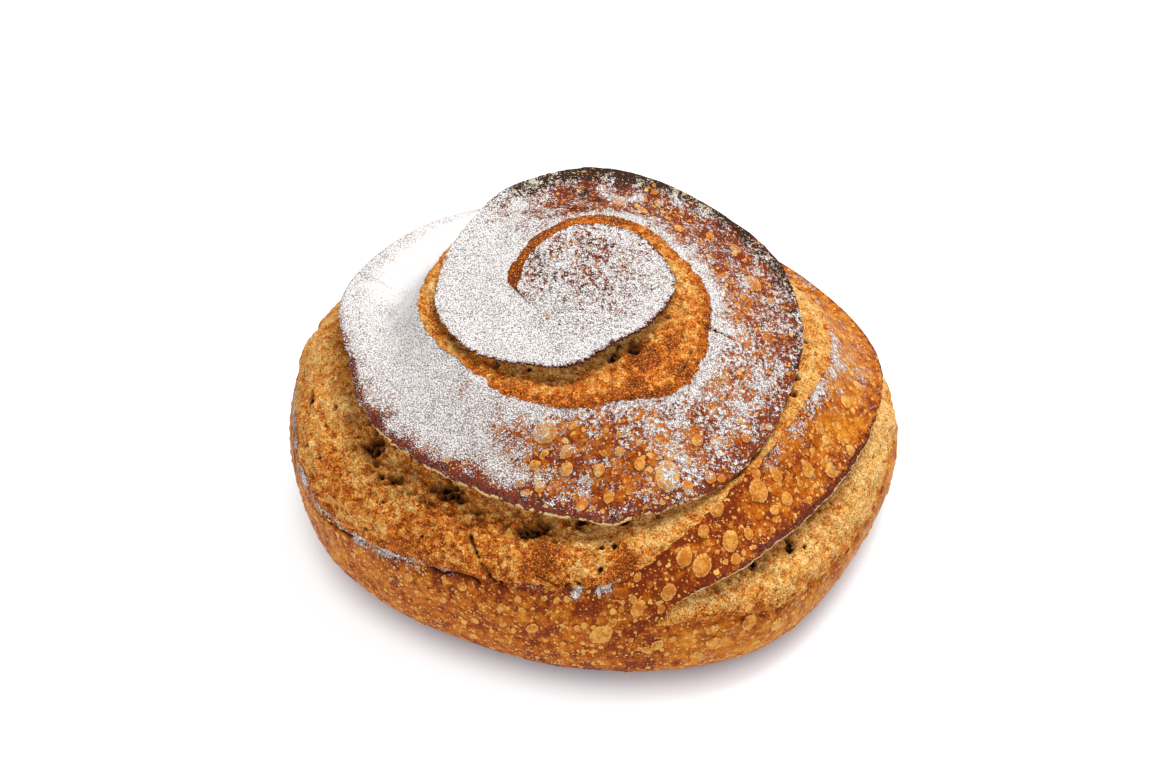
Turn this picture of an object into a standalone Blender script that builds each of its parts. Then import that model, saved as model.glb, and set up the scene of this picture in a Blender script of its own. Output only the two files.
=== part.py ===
"""Round hearth loaf with one long spiral cut, as a single closed solid.

The loaf is a blunt dome on a flat foot. A spiral cut winds out from a point near the top,
clockwise as seen from above, for a little over two and a half turns. In the oven the cut has
opened: its inner edge has lifted into an ear, the torn crumb bulges from under the ear, and
beyond the crumb the browned skin runs on to the next turn's ear.

The skin is modelled as one long strip of quads wound round as that spiral. Each column of the
strip is a section across the cut, and the last point of a column is the first point of the
column one turn later, so that the strip closes on itself.
"""
import math

import bmesh
import bpy
from mathutils import Vector, noise

MM = 0.001

# The dome: its reach at twelve bearings a 30 degree step apart, counted from +X towards +Y
BELLY_REACH = (124.0, 119.0, 115.0, 114.0, 113.0, 121.0, 128.0, 128.0, 121.0, 123.0, 129.0, 122.0)
BELLY_HEIGHT = 28.0
CROWN_RISE = 92.0
CROWN_BLUNTNESS = 1.18
CROWN_LEAN = (4.0, 20.0)
TOP_OFFSET = (-28.0, -26.0)
TOP_OFFSET_FADE = 1.4
BACK_BEARING = 85.0
BACK_FALL = 14.0
BACK_FALL_START = 40.0
FOOT_SHARE = 0.825
BOX_CENTRE = (-2.1, -5.58)

# The cut. Each station gives the turn from its start and the ear's place and the cut's width
# as degrees down the dome, then the ear's lift, the cut's depth, the undercut below the ear in
# degrees, the height of the crumb's bulge, and how far the skin beyond it sags
CUT_START_BEARING = 141.0
CUT_STATIONS = (
    (0, 0.0, 0.0, 0.0, 0.0, 0.0, 0.0, 0.0),
    (6, 4.5, 4.0, 0.5, 1.5, 0.0, 0.0, 0.0),
    (30, 8.0, 5.0, 1.0, 2.0, 0.2, 0.0, 0.0),
    (52, 14.5, 5.0, 1.2, 2.0, 0.3, 0.0, 0.0),
    (80, 24.5, 5.0, 1.5, 2.0, 0.3, 0.0, 0.0),
    (105, 29.5, 4.0, 2.0, 2.5, 0.4, 0.0, 0.0),
    (125, 29.5, 5.5, 2.5, 3.0, 0.8, 0.5, 0.0),
    (146, 25.5, 9.5, 3.0, 4.0, 1.8, 1.5, 0.0),
    (172, 19.5, 14.5, 4.0, 5.0, 2.6, 2.0, 0.0),
    (195, 17.0, 9.0, 4.0, 5.0, 2.4, 1.5, 0.0),
    (240, 14.5, 7.0, 3.5, 4.0, 1.8, 1.0, 0.0),
    (290, 17.0, 3.0, 3.0, 2.5, 1.0, 0.0, 1.5),
    (335, 22.5, 4.8, 3.0, 3.0, 1.0, 0.5, 7.0),
    (365, 26.5, 3.0, 4.0, 3.0, 1.0, 0.0, 10.0),
    (410, 38.0, 3.0, 8.0, 3.0, 1.0, 0.0, 8.0),
    (450, 47.0, 6.0, 8.5, 4.0, 1.5, 0.0, 3.0),
    (480, 52.0, 11.5, 5.5, 5.0, 1.8, 0.0, 1.5),
    (500, 51.5, 8.0, 4.0, 4.5, 1.6, 0.5, 0.0),
    (520, 51.5, 3.5, 3.0, 3.0, 1.0, 0.5, 0.0),
    (545, 50.0, 1.8, 3.0, 2.5, 0.8, 0.5, 0.0),
    (562, 47.5, 5.5, 3.5, 3.5, 1.5, 1.0, 0.0),
    (586, 45.0, 16.5, 4.5, 5.5, 2.8, 2.5, 0.0),
    (617, 41.5, 23.5, 5.0, 6.0, 3.2, 3.5, 0.0),
    (648, 41.0, 30.0, 5.0, 6.0, 3.0, 4.0, 0.0),
    (672, 41.5, 26.0, 5.0, 5.0, 2.6, 3.5, 0.0),
    (700, 47.5, 19.0, 5.5, 5.0, 2.2, 2.0, 0.0),
    (720, 48.5, 18.0, 3.5, 4.5, 1.6, 1.0, 0.0),
    (765, 58.0, 12.0, 1.8, 4.0, 1.0, 0.5, 1.0),
    (810, 68.0, 9.0, 4.0, 4.0, 1.4, 0.5, 0.0),
    (850, 75.0, 9.0, 4.0, 4.0, 1.4, 0.5, 0.0),
    (870, 71.5, 11.5, 3.5, 4.0, 1.6, 1.0, 0.0),
    (890, 70.0, 16.0, 3.0, 4.0, 1.6, 1.5, 0.0),
    (913, 65.5, 18.0, 3.0, 4.0, 1.6, 2.0, 0.0),
    (925, 66.5, 13.0, 2.5, 3.5, 1.4, 1.5, 0.0),
    (933, 69.5, 8.0, 1.5, 2.0, 0.8, 0.5, 0.0),
    (941, 78.0, 0.0, 0.0, 0.0, 0.0, 0.0, 0.0),
    (1060, 97.0, 0.0, 0.0, 0.0, 0.0, 0.0, 0.0),
    (1170, 115.0, 0.0, 0.0, 0.0, 0.0, 0.0, 0.0),
)
LAST_TURN = CUT_STATIONS[-1][0]
SKIRT_DOWN = CUT_STATIONS[-1][1]
SKIRT_RINGS = (130.0, 145.0, 162.0, 180.0)

# One section across the cut, in rows from an ear out to the next one. Each crumb row takes a
# share of the undercut, of the cut's width, of the ear's lift, of the depth and of the bulge.
# The skin rows are shares of the way from the cut's far lip to the next ear
COLUMNS_A_TURN = 108
EAR_THICKNESS = 2.2
EAR_THICKNESS_SHARE = 0.6
EAR_UNDERSIDE = 0.25
CRUMB_ROWS = (
    (0.75, 0.0, 0.3, 0.45, 0.0),
    (0.9, 0.0, 0.0, 0.85, 0.0),
    (0.0, 0.12, 0.0, 1.0, 0.25),
    (0.0, 0.45, 0.0, 0.35, 0.9),
    (0.0, 0.8, 0.0, 0.1, 1.0),
)
LIP_BULGE = 0.3
SKIN_ROWS = (0.3, 0.6, 0.85)
EAR_CURL_LENGTH = 9.0

# Unevenness: the length and the height of the lumps in the crumb and in the skin
CRUMB_LUMP = 11.0
CRUMB_LUMP_HEIGHT = 1.6
CRUMB_LUMP_DEPTH = 3.0
SKIN_LUMP = 38.0
SKIN_LUMP_HEIGHT = 1.2
EAR_WAVE = 22.0
EAR_WAVE_REACH = 0.5
EAR_WAVE_HEIGHT = 0.7
FOOT_CALM = 14.0

CRUST_COLOUR = (0.42, 0.17, 0.045, 1.0)
CRUST_ROUGHNESS = 0.7


def round_value(values, bearing):
    """A value at a bearing, smooth between evenly spaced stations round the loaf."""
    step = 360.0 / len(values)
    place = (bearing % 360.0) / step
    first = int(place)
    share = place - first
    before, start, end, after = (values[(first + k) % len(values)] for k in (-1, 0, 1, 2))
    return 0.5 * (2 * start + (end - before) * share
                  + (2 * before - 5 * start + 4 * end - after) * share ** 2
                  + (3 * (start - end) + after - before) * share ** 3)


def station_slope(turns, values, index):
    """Slope of a curve at a station, level at its high and low points."""
    if index == 0 or index == len(turns) - 1:
        return 0.0
    left = (values[index] - values[index - 1]) / (turns[index] - turns[index - 1])
    right = (values[index + 1] - values[index]) / (turns[index + 1] - turns[index])
    if left * right <= 0:
        return 0.0
    return 2 * left * right / (left + right)


def cut_value(column, turn):
    """One column of the cut's stations at a turn, smooth and without overshoot."""
    turns = [station[0] for station in CUT_STATIONS]
    values = [station[column] for station in CUT_STATIONS]
    if turn <= turns[0]:
        return values[0]
    if turn >= turns[-1]:
        return values[-1]
    index = max(k for k in range(len(turns)) if turns[k] <= turn)
    length = turns[index + 1] - turns[index]
    share = (turn - turns[index]) / length
    start_slope = station_slope(turns, values, index) * length
    end_slope = station_slope(turns, values, index + 1) * length
    ease = share * share * (3 - 2 * share)
    return (values[index] + (values[index + 1] - values[index]) * ease
            + start_slope * share * (1 - share) ** 2
            - end_slope * share ** 2 * (1 - share))


def dome_point(down, bearing):
    """Point on the plain dome, in millimetres: 0 down is its top, 90 its belly, 180 its foot."""
    angle = math.radians(bearing)
    crown = math.radians(min(down, 90.0))
    skirt = math.radians(max(down - 90.0, 0.0))
    reach = round_value(BELLY_REACH, bearing)
    if down > 90.0:
        reach *= FOOT_SHARE + (1 - FOOT_SHARE) * math.cos(skirt)
        height = BELLY_HEIGHT * (1 - math.sin(skirt))
    else:
        reach *= math.sin(crown) ** CROWN_BLUNTNESS
        lean = CROWN_LEAN[0] * math.cos(angle) + CROWN_LEAN[1] * math.sin(angle)
        height = BELLY_HEIGHT + CROWN_RISE * math.cos(crown) + lean * math.sin(2 * crown)
        behind = max(math.cos(math.radians(bearing - BACK_BEARING)), 0.0)
        share = max(down - BACK_FALL_START, 0.0) / (90.0 - BACK_FALL_START)
        height -= BACK_FALL * behind * math.sin(math.pi * share) ** 2
    offset = max(math.cos(crown), 0.0) ** TOP_OFFSET_FADE
    return Vector((TOP_OFFSET[0] * offset + reach * math.cos(angle) - BOX_CENTRE[0],
                   TOP_OFFSET[1] * offset + reach * math.sin(angle) - BOX_CENTRE[1],
                   height))


def dome_normal(down, bearing):
    """Outward direction of the plain dome."""
    if down < 1.0:
        return Vector((0.0, 0.0, 1.0))
    along = dome_point(down + 0.5, bearing) - dome_point(down - 0.5, bearing)
    across = dome_point(down, bearing + 0.5) - dome_point(down, bearing - 0.5)
    return along.cross(across).normalized()


def lump(point, length, height):
    """Soft unevenness of a given length and height at a point."""
    return height * noise.noise(point / length)


def skin_point(down, turn, height):
    """Point a given height over the dome, with the skin's own unevenness."""
    bearing = CUT_START_BEARING - turn
    down = max(down, 0.0)
    point = dome_point(down, bearing)
    calm = min(max(point.z / FOOT_CALM, 0.0), 1.0)
    uneven = lump(point, SKIN_LUMP, SKIN_LUMP_HEIGHT) * calm
    return point + dome_normal(down, bearing) * (height + uneven)


def ear_tip(turn):
    """The ear's place down the dome and its height over it."""
    wave = noise.noise(Vector((turn / EAR_WAVE, 0.0, 0.0))) * min(cut_value(3, turn), 1.0)
    return cut_value(1, turn) + EAR_WAVE_REACH * wave, cut_value(3, turn) + EAR_WAVE_HEIGHT * wave


def section(turn):
    """Points across the cut and the skin from the ear at one turn out to the next ear."""
    if turn < 0:
        tip_down, tip_height, width, depth, undercut, bulge, sag = (0.0,) * 7
    else:
        tip_down, tip_height = ear_tip(turn)
        width, depth, undercut, bulge, sag = (cut_value(k, turn) for k in (2, 4, 5, 6, 7))
    if turn + 360 <= LAST_TURN:
        next_down, next_height = ear_tip(turn + 360)
    else:
        next_down, next_height = SKIRT_DOWN, 0.0
    thickness = min(EAR_THICKNESS, EAR_THICKNESS_SHARE * tip_height)
    lip_down = tip_down + width
    points = [skin_point(tip_down, turn, tip_height),
              skin_point(tip_down - EAR_UNDERSIDE * undercut, turn, tip_height - thickness)]
    for under, across, lifted, sunk, bulged in CRUMB_ROWS:
        down = max(tip_down - under * undercut + across * width, 0.0)
        height = lifted * tip_height - sunk * depth + bulged * bulge
        place = dome_point(down, CUT_START_BEARING - turn)
        height += lump(place, CRUMB_LUMP, CRUMB_LUMP_HEIGHT) * min(depth / CRUMB_LUMP_DEPTH, 1.0)
        points.append(skin_point(down, turn, height))
    points.append(skin_point(lip_down, turn, LIP_BULGE * bulge))
    for share in SKIN_ROWS:
        down = lip_down + (next_down - lip_down) * share
        level = LIP_BULGE * bulge * (1 - share) ** 2 - sag * math.sin(math.pi * share)
        curl = max(1 - (next_down - down) / EAR_CURL_LENGTH, 0.0) ** 2
        points.append(skin_point(down, turn, level + next_height * curl))
    points.append(skin_point(next_down, turn, next_height))
    return points


def wind_strip(mesh):
    """Wind a flat grid round the dome, one grid column to each section across the cut."""
    columns = round((LAST_TURN + 360) * COLUMNS_A_TURN / 360)
    rows = len(section(0)) - 1
    grid = bmesh.ops.create_grid(mesh, x_segments=columns, y_segments=rows, size=0.5)
    sections = [section(360 * (column / COLUMNS_A_TURN - 1)) for column in range(columns + 1)]
    for vertex in grid["verts"]:
        column = round((vertex.co.x + 0.5) * columns)
        row = round((vertex.co.y + 0.5) * rows)
        vertex.co = sections[column][row] * MM
    bmesh.ops.remove_doubles(mesh, verts=mesh.verts, dist=1e-6)


def close_foot(mesh):
    """Draw the open edge down round the belly to the floor and close it with a flat foot."""
    for down in SKIRT_RINGS:
        edges = [edge for edge in mesh.edges if edge.is_boundary]
        ring = bmesh.ops.extrude_edge_only(mesh, edges=edges)["geom"]
        for vertex in (item for item in ring if isinstance(item, bmesh.types.BMVert)):
            flat = vertex.co / MM + Vector((BOX_CENTRE[0], BOX_CENTRE[1], 0.0))
            bearing = math.degrees(math.atan2(flat.y, flat.x))
            vertex.co = skin_point(down, CUT_START_BEARING - bearing, 0.0) * MM
    edges = [edge for edge in mesh.edges if edge.is_boundary]
    bmesh.ops.contextual_create(mesh, geom=edges)


def crust_material():
    """Browned crust."""
    material = bpy.data.materials.new("browned_crust")
    material.use_nodes = True
    shader = material.node_tree.nodes["Principled BSDF"]
    shader.inputs["Base Color"].default_value = CRUST_COLOUR
    shader.inputs["Roughness"].default_value = CRUST_ROUGHNESS
    shader.inputs["Metallic"].default_value = 0.0
    return material


def build_loaf():
    """The whole loaf as one named object."""
    mesh = bmesh.new()
    wind_strip(mesh)
    close_foot(mesh)
    bmesh.ops.recalc_face_normals(mesh, faces=mesh.faces)
    bmesh.ops.triangulate(mesh, faces=mesh.faces)
    data = bpy.data.meshes.new("country_loaf")
    mesh.to_mesh(data)
    mesh.free()
    data.shade_smooth()
    data.materials.append(crust_material())
    loaf = bpy.data.objects.new("country_loaf", data)
    bpy.context.scene.collection.objects.link(loaf)
    return loaf


def clear_scene():
    """Remove whatever the file holds at the start."""
    for item in list(bpy.data.objects):
        bpy.data.objects.remove(item, do_unlink=True)


clear_scene()
build_loaf()
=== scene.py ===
"""Country bread: one round floury loaf with a long spiral cut, on a white table.

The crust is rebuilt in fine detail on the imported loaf's own form: a blunt dome on a flat foot,
with a spiral cut that has torn open into ears, bulging crumb and ribbons of browned skin.
Places on the loaf are given as degrees down the dome (0 its top, 90 its belly, 180 its foot) and
a bearing round it, or a turn along the cut, which winds clockwise from a bearing of 141.
"""
import math
from itertools import product
from types import SimpleNamespace

import bmesh
import bpy
import numpy as np
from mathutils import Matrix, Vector, noise


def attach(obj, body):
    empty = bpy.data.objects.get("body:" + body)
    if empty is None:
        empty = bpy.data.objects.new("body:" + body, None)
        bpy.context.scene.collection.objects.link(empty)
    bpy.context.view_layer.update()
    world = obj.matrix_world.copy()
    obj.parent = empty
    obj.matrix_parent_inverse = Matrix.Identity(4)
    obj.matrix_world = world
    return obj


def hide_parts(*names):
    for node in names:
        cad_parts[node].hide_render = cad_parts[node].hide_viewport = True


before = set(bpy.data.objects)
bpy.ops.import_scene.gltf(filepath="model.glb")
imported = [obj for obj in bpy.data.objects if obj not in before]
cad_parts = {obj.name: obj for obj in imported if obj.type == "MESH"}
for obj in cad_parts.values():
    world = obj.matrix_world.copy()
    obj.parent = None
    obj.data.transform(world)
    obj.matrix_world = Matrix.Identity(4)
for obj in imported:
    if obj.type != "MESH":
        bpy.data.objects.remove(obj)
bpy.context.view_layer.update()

MM = 0.001
RANDOM = np.random.default_rng(20).random((8192, 4))
NOISE_GAIN = 2.6

# The dome: its reach at twelve bearings a 30 degree step apart, in millimetres as all lengths here
BELLY_REACH = (124, 119, 115, 114, 113, 121, 128, 128, 121, 123, 129, 122)
BELLY_HEIGHT = 28
CROWN_RISE = 92
CROWN_BLUNTNESS = 1.18
CROWN_LEAN = (4, 20)
TOP_OFFSET = (-28, -26)
TOP_OFFSET_FADE = 1.4
BACK_BEARING = 85
BACK_FALL = 14
BACK_FALL_START = 40
FOOT_SHARE = 0.825
BOX_CENTRE = (-2.1, -5.58)
# Round the top point outward directions even out over so many degrees, and relief over so many mm
POLE_CALM = 6
POLE_REACH = 1.5

# The cut: turn, the ear's place and the cut's width in degrees down the dome, the ear's lift,
# the cut's depth, the undercut in degrees, the crumb's bulge, and the skin's sag beyond it
CUT_START_BEARING = 141.0
CUT_STATIONS = np.array((
    (0, 0, 0, 0, 0, 0, 0, 0),
    (6, 4.5, 4, 0.5, 1.5, 0, 0, 0),
    (30, 8, 5, 1, 2, 0.2, 0, 0),
    (52, 14.5, 5, 1.2, 2, 0.3, 0, 0),
    (80, 24.5, 5, 1.5, 2, 0.3, 0, 0),
    (105, 29.5, 4, 2, 2.5, 0.4, 0, 0),
    (125, 29.5, 5.5, 2.5, 3, 0.8, 0.5, 0),
    (146, 25.5, 9.5, 3, 4, 1.8, 1.5, 0),
    (172, 19.5, 14.5, 4, 5, 2.6, 2, 0),
    (195, 17, 9, 4, 5, 2.4, 1.5, 0),
    (240, 14.5, 7, 3.5, 4, 1.8, 1, 0),
    (290, 17, 3, 3, 2.5, 1, 0, 1.5),
    (335, 22.5, 4.8, 3, 3, 1, 0.5, 7),
    (365, 26.5, 3, 4, 3, 1, 0, 10),
    (410, 38, 3, 8, 3, 1, 0, 8),
    (450, 47, 6, 8.5, 4, 1.5, 0, 3),
    (480, 52, 11.5, 5.5, 5, 1.8, 0, 1.5),
    (500, 51.5, 8, 4, 4.5, 1.6, 0.5, 0),
    (520, 51.5, 3.5, 3, 3, 1, 0.5, 0),
    (545, 50, 1.8, 3, 2.5, 0.8, 0.5, 0),
    (562, 47.5, 5.5, 3.5, 3.5, 1.5, 1, 0),
    (586, 45, 16.5, 4.5, 5.5, 2.8, 2.5, 0),
    (617, 41.5, 23.5, 5, 6, 3.2, 3.5, 0),
    (648, 41, 30, 5, 6, 3, 4, 0),
    (672, 41.5, 26, 5, 5, 2.6, 3.5, 0),
    (700, 47.5, 19, 5.5, 5, 2.2, 2, 0),
    (720, 48.5, 18, 3.5, 4.5, 1.6, 1, 0),
    (765, 58, 12, 1.8, 4, 1, 0.5, 1),
    (810, 68, 9, 4, 4, 1.4, 0.5, 0),
    (850, 75, 9, 4, 4, 1.4, 0.5, 0),
    (870, 71.5, 11.5, 3.5, 4, 1.6, 1, 0),
    (890, 70, 16, 3, 4, 1.6, 1.5, 0),
    (913, 65.5, 18, 3, 4, 1.6, 2, 0),
    (925, 66.5, 13, 2.5, 3.5, 1.4, 1.5, 0),
    (933, 69.5, 8, 1.5, 2, 0.8, 0.5, 0),
    (941, 78, 0, 0, 0, 0, 0, 0),
    (1060, 97, 0, 0, 0, 0, 0, 0),
    (1170, 115, 0, 0, 0, 0, 0, 0),
))
LAST_TURN = CUT_STATIONS[-1][0]
SKIRT_DOWN = CUT_STATIONS[-1][1]
FOOT_DOWN = 180
EAR_THICKNESS = 1.6
EAR_THICKNESS_SHARE = 0.6
EAR_UNDERSIDE = 0.25
EAR_CURL_LENGTH = 9
LIP_BULGE = 0.3
SKIN_LUMP = 38
SKIN_LUMP_HEIGHT = 1.2
EAR_WAVE = 22
EAR_WAVE_REACH = 0.5
EAR_WAVE_HEIGHT = 0.7
FOOT_CALM = 14
FOOT_RELIEF = (0, 9)

# Control points across the crumb, as shares of undercut, width, depth and bulge
CRUMB_LINE = ((-0.9, 0, -0.85, 0), (0, 0.12, -1, 0.25), (0, 0.45, -0.35, 0.9),
              (0, 0.8, -0.1, 1), (0, 1, 0, LIP_BULGE))
# And down the underside of an ear, as shares of undercut, lift, thickness and depth
UNDERSIDE_LINE = ((0, 1, 0, 0), (0.2, 1, -0.55, 0), (-EAR_UNDERSIDE, 1, -1.1, 0),
                  (-0.75, 0.3, 0, -0.45), (-0.9, 0, 0, -0.85), (-0.6, 0, 0, -1.4))
CRUMB_SAMPLES = 61
SKIN_SAMPLES = 141
SKIRT_SAMPLES = 61
UNDERSIDE_SAMPLES = 41

# The crust's pieces: first and last turn, columns, rows across crumb and skin, rows beyond
PIECES = {
    "crown_disc": (-360, 0, 560, 84, 10),
    "inner_ribbon": (0, 360, 700, 106, 10),
    "outer_ribbon": (360, 581, 520, 130, 10),
    "front_base": (581, 760, 410, 176, 34),
    "right_base": (760, 941, 540, 110, 34),
}
# Points closer than this are one, and edges shorter than that are dropped, in metres
MERGE_DISTANCE = 2e-6
NO_LENGTH = 1e-7
FOOT_ROWS = 4
INNER_ROWS = 7
INNER_SHARE = 0.86
INNER_MIDDLE = np.array((0, 0, 45))
# Columns past each end of a piece, and how deep each lies under the neighbouring piece
OVERLAP_SINK = (0.4, 0.1, 0.02)
FIRST_BASE_TURN = 400
# Chips in the ear's edge: steps of noise to a degree of turn, and how deep
EAR_CHIPS = ((0.7, 0.45), (0.25, 0.6))
CHIP_SALT = 97
# Where a scrap of skin hangs lower over the crumb: the ear's turn, its half width and its reach
EAR_TONGUES = ((578, 3.6, 1.5), (661, 2.6, 0.7), (905, 3, 0.5))
# Soft noise, one layer after another: height, lump size and salt
SKIN_NOISE = ((0.3, 7, 61),)
LIP_NOISE = ((1.2, 5, 51), (0.8, 1.8, 53))
CRUMB_NOISE = ((1.8, 11, 3), (1.3, 5, 11))
FINE_CRUMB_NOISE = ((0.9, 2.6, 19), (0.5, 1.4, 23))
CRUMB_WARP = ((0.7, 3, 41),)
OPENING_NOISE = ((1, 9, 47),)
FLOUR_NOISE = ((0.3, 20, 73), (0.5, 7, 77))
LIP_FLOUR_NOISE = ((1, 9, 79),)
BURN_NOISE = ((0.2, 16, 83), (0.18, 5, 87))
TOAST_NOISE = ((0.4, 14, 89), (0.3, 5, 91))
HOLLOW_NOISE = ((0.4, 2.6, 57),)
HOLLOW_WARP = ((0.8, 2.4, 41),)
CRACK_NOISE = ((0.45, 1.6, 59),)
BLISTER_WARP = ((0.7, 2.6, 69),)
FLOUR_PATCH_NOISE = ((0.35, 3, 93),)
BAKED_PATCH_NOISE = ((0.4, 5, 95),)
# Torn crumb's pebbles, pores and webs: cell size and salt, how high or deep they are, and how dark their
# painted shade is
PEBBLE_CELLS = (2.4, 31)
PEBBLE_RISE = 0.7
PORE_CELLS = (5, 37)
PORE_DEPTH = 1.4
PORE_SHADE = 0.9
WEB_CELLS = (4.2, 43)
WEB_DEPTH = 3.4
WEB_SHADE = 0.72
FOLD_DEPTH = 0.8
STRAND_CELLS = (3, 58)
HOLLOW_FADE = (1.15, 0.35)
CRACK_SHADE = 0.85
# Named spots: how far through the crust they reach, and how far round them is worked out
SPOT_HEIGHT = 14
SPOT_MARGIN = 1.5
CRACK_MARGIN = 16
# Blisters: how high each rises for its radius, and the scattered ones' spacing, height and salt
BLISTER_RISE = 0.32
HIGHEST_BLISTER = 3.5
BLISTER_SALT = 67
CONE_TOP = 1.5
SMALL_BLISTERS = ((6.5, 0.6, 71), (4, 0.4, 72))

# Over which distances from the cut and from the next ear painted values fade to those midway
NEAR_FADE = (11.0, 1.0)
FAR_FADE = (13.0, 2.0)
# How floury and how dark the skin is: turn, then the value by the cut, midway, by the next ear
FLOUR_STATIONS = np.array((
    (-360, 0.7, 0.66, 0.78), (-300, 0.6, 0.56, 0.7), (-250, 0.6, 0.6, 0.78), (-190, 0.72, 0.8, 0.86),
    (-120, 0.84, 0.9, 0.9), (-40, 0.86, 0.92, 0.9),
    (0, 0.92, 0.92, 0.9), (20, 0.92, 0.94, 0.88), (45, 0.78, 0.58, 0.32), (65, 0.68, 0.4, 0.2),
    (85, 0.68, 0.36, 0.28), (110, 0.76, 0.42, 0.34), (135, 0.82, 0.46, 0.38), (155, 0.82, 0.5, 0.34),
    (175, 0.8, 0.5, 0.34),
    (195, 0.72, 0.38, 0.32), (215, 0.66, 0.28, 0.22), (235, 0.76, 0.48, 0.24), (260, 0.8, 0.72, 0.34),
    (290, 0.86, 0.8, 0.56), (320, 0.96, 0.92, 0.8), (350, 1.05, 1.15, 0.95),
    (380, 1.1, 1.2, 1), (420, 0.8, 0.7, 0.6), (470, 0.5, 0.28, 0.2), (495, 0.56, 0.24, 0.14),
    (515, 0.52, 0.2, 0.16), (540, 0.2, 0.08, 0.14), (565, 0.08, 0, 0.05),
    (585, 0.14, 0, 0), (610, 0.22, 0.03, 0), (628, 0.3, 0.08, 0.06), (645, 0.34, 0.12, 0.1),
    (672, 0.4, 0.16, 0.14), (720, 0.5, 0.26, 0.2), (760, 0.5, 0.25, 0.2), (820, 0.4, 0.2, 0.1),
    (870, 0.2, 0.12, 0.06), (941, 0.1, 0.14, 0.05),
))
BURN_STATIONS = np.array((
    (-360, 0.84, 0.92, 0.76), (-180, 0.84, 0.92, 0.76), (-20, 0.7, 0.7, 0.7),
    (0, 0.6, 0.7, 0.8), (28, 0.66, 0.8, 0.9), (50, 0.65, 0.85, 1.4), (80, 0.65, 0.8, 1.4),
    (110, 0.6, 0.68, 1.25), (140, 0.52, 0.54, 1), (170, 0.5, 0.48, 0.75), (200, 0.5, 0.5, 0.8),
    (250, 0.55, 0.56, 0.86),
    (300, 0.6, 0.6, 0.8), (350, 0.6, 0.6, 0.6), (420, 0.6, 0.5, 0.6), (470, 0.36, 0.3, 0.34),
    (520, 0.36, 0.32, 0.46), (545, 0.52, 0.5, 0.66), (575, 0.62, 0.54, 0.77), (590, 0.6, 0.5, 0.36),
    (620, 0.5, 0.38, 0.28), (650, 0.44, 0.3, 0.26), (700, 0.42, 0.34, 0.3), (760, 0.42, 0.32, 0.3),
    (830, 0.34, 0.24, 0.22), (880, 0.32, 0.2, 0.2), (925, 0.34, 0.24, 0.18), (941, 0.4, 0.34, 0.22),
))
# The ear's torn edge: the turn of the ear, how much of it is cream, how much is charred, and the
# width of the charred band on top of it; just under the tip the charred band is also painted shade
EDGE_STATIONS = np.array((
    (0, 0.1, 0.8, 1.4), (120, 0.1, 1, 1.6), (330, 0.1, 0.9, 1.2), (380, 0, 0.1, 0.8),
    (470, 0.4, 0.2, 0.8), (560, 0.5, 0.5, 2.5), (585, 0.66, 0.8, 4), (620, 0.7, 0.9, 6),
    (645, 0.6, 0.9, 5), (665, 0.25, 0.9, 4), (690, 0.1, 0.9, 2.4), (712, 0.1, 0.5, 1),
    (725, 0, 0, 0.5), (765, 0, 0, 0.5), (790, 0.3, 0.6, 2), (865, 0.6, 0.5, 2),
    (885, 0.9, 0.9, 4.5), (912, 0.95, 0.8, 4.5), (930, 0.8, 0.4, 2), (941, 0.6, 0.6, 2),
))
# Lifts at which an ear begins to have a torn edge, and how far that edge is cream and charred,
# the charred band reaching down the underside as painted shade
EAR_STARTS = (0.5, 2.0)
CREAM_BELOW = (-4.0, -2.2)
CREAM_ABOVE = (0.5, -0.2)
CHAR_AND_SHADE_BELOW = (-5.5, -2.5)
# A thin line of flour along the cut's lower lip
LIP_FLOUR_STATIONS = np.array((
    (585, 0), (605, 0.1), (630, 0.2), (645, 0.4), (665, 0.62), (700, 0.8), (730, 0.4), (760, 0),
))
LIP_FLOUR_FADE = (6.5, 1.5)
# How open the crumb is beneath the ear, and how pebbly it is all over
OPENING_STATIONS = np.array((
    (0, 0, 0.6), (130, 0.2, 0.8), (150, 0.5, 0.8), (185, 0.6, 0.8), (230, 0.3, 0.8), (270, 0, 0.7),
    (560, 0.1, 0.7), (582, 0.4, 1), (598, 0.9, 1), (625, 1, 1), (648, 0.9, 0.9),
    (662, 0.6, 0.75), (676, 0.3, 0.6), (700, 0.1, 0.5), (760, 0.1, 0.6), (880, 0.1, 0.8),
    (900, 0.7, 0.8), (925, 0.6, 0.8), (941, 0, 0.8),
))
# How clumped the flour is along the ribbons
CLUMP_STATIONS = np.array((
    (-360, 0.9), (-200, 0.7), (-130, 0.3), (-20, 0.5), (0, 0.8), (30, 0.6), (110, 0.6), (150, 0.9),
    (200, 1), (235, 0.5), (265, 0.1), (420, 0.1), (470, 0.9), (541, 0.8), (600, 0.5), (941, 0.5),
))
# Places in the crumb that baked smooth and red-brown, and floury patches on the skin:
# bearing, degrees down the dome, radius
BAKED_PATCHES = ((334, 26, 8.5), (335, 32, 5.5), (318, 27, 5), (345, 29, 4), (264, 56, 8),
                 (281, 58, 7))
BAKED_PATCH_FADE = (1.15, 0.6)
BAKED_TOAST = 1.3
FLOUR_PATCHES = ((276, 62.5, 5.4), (350, 57, 6.2), (356, 60, 4.6), (303, 42, 4), (270, 64, 4))
FLOUR_PATCH_FADE = (1.1, 0.3)
FLOUR_PATCH_FLOUR = 0.78
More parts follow.
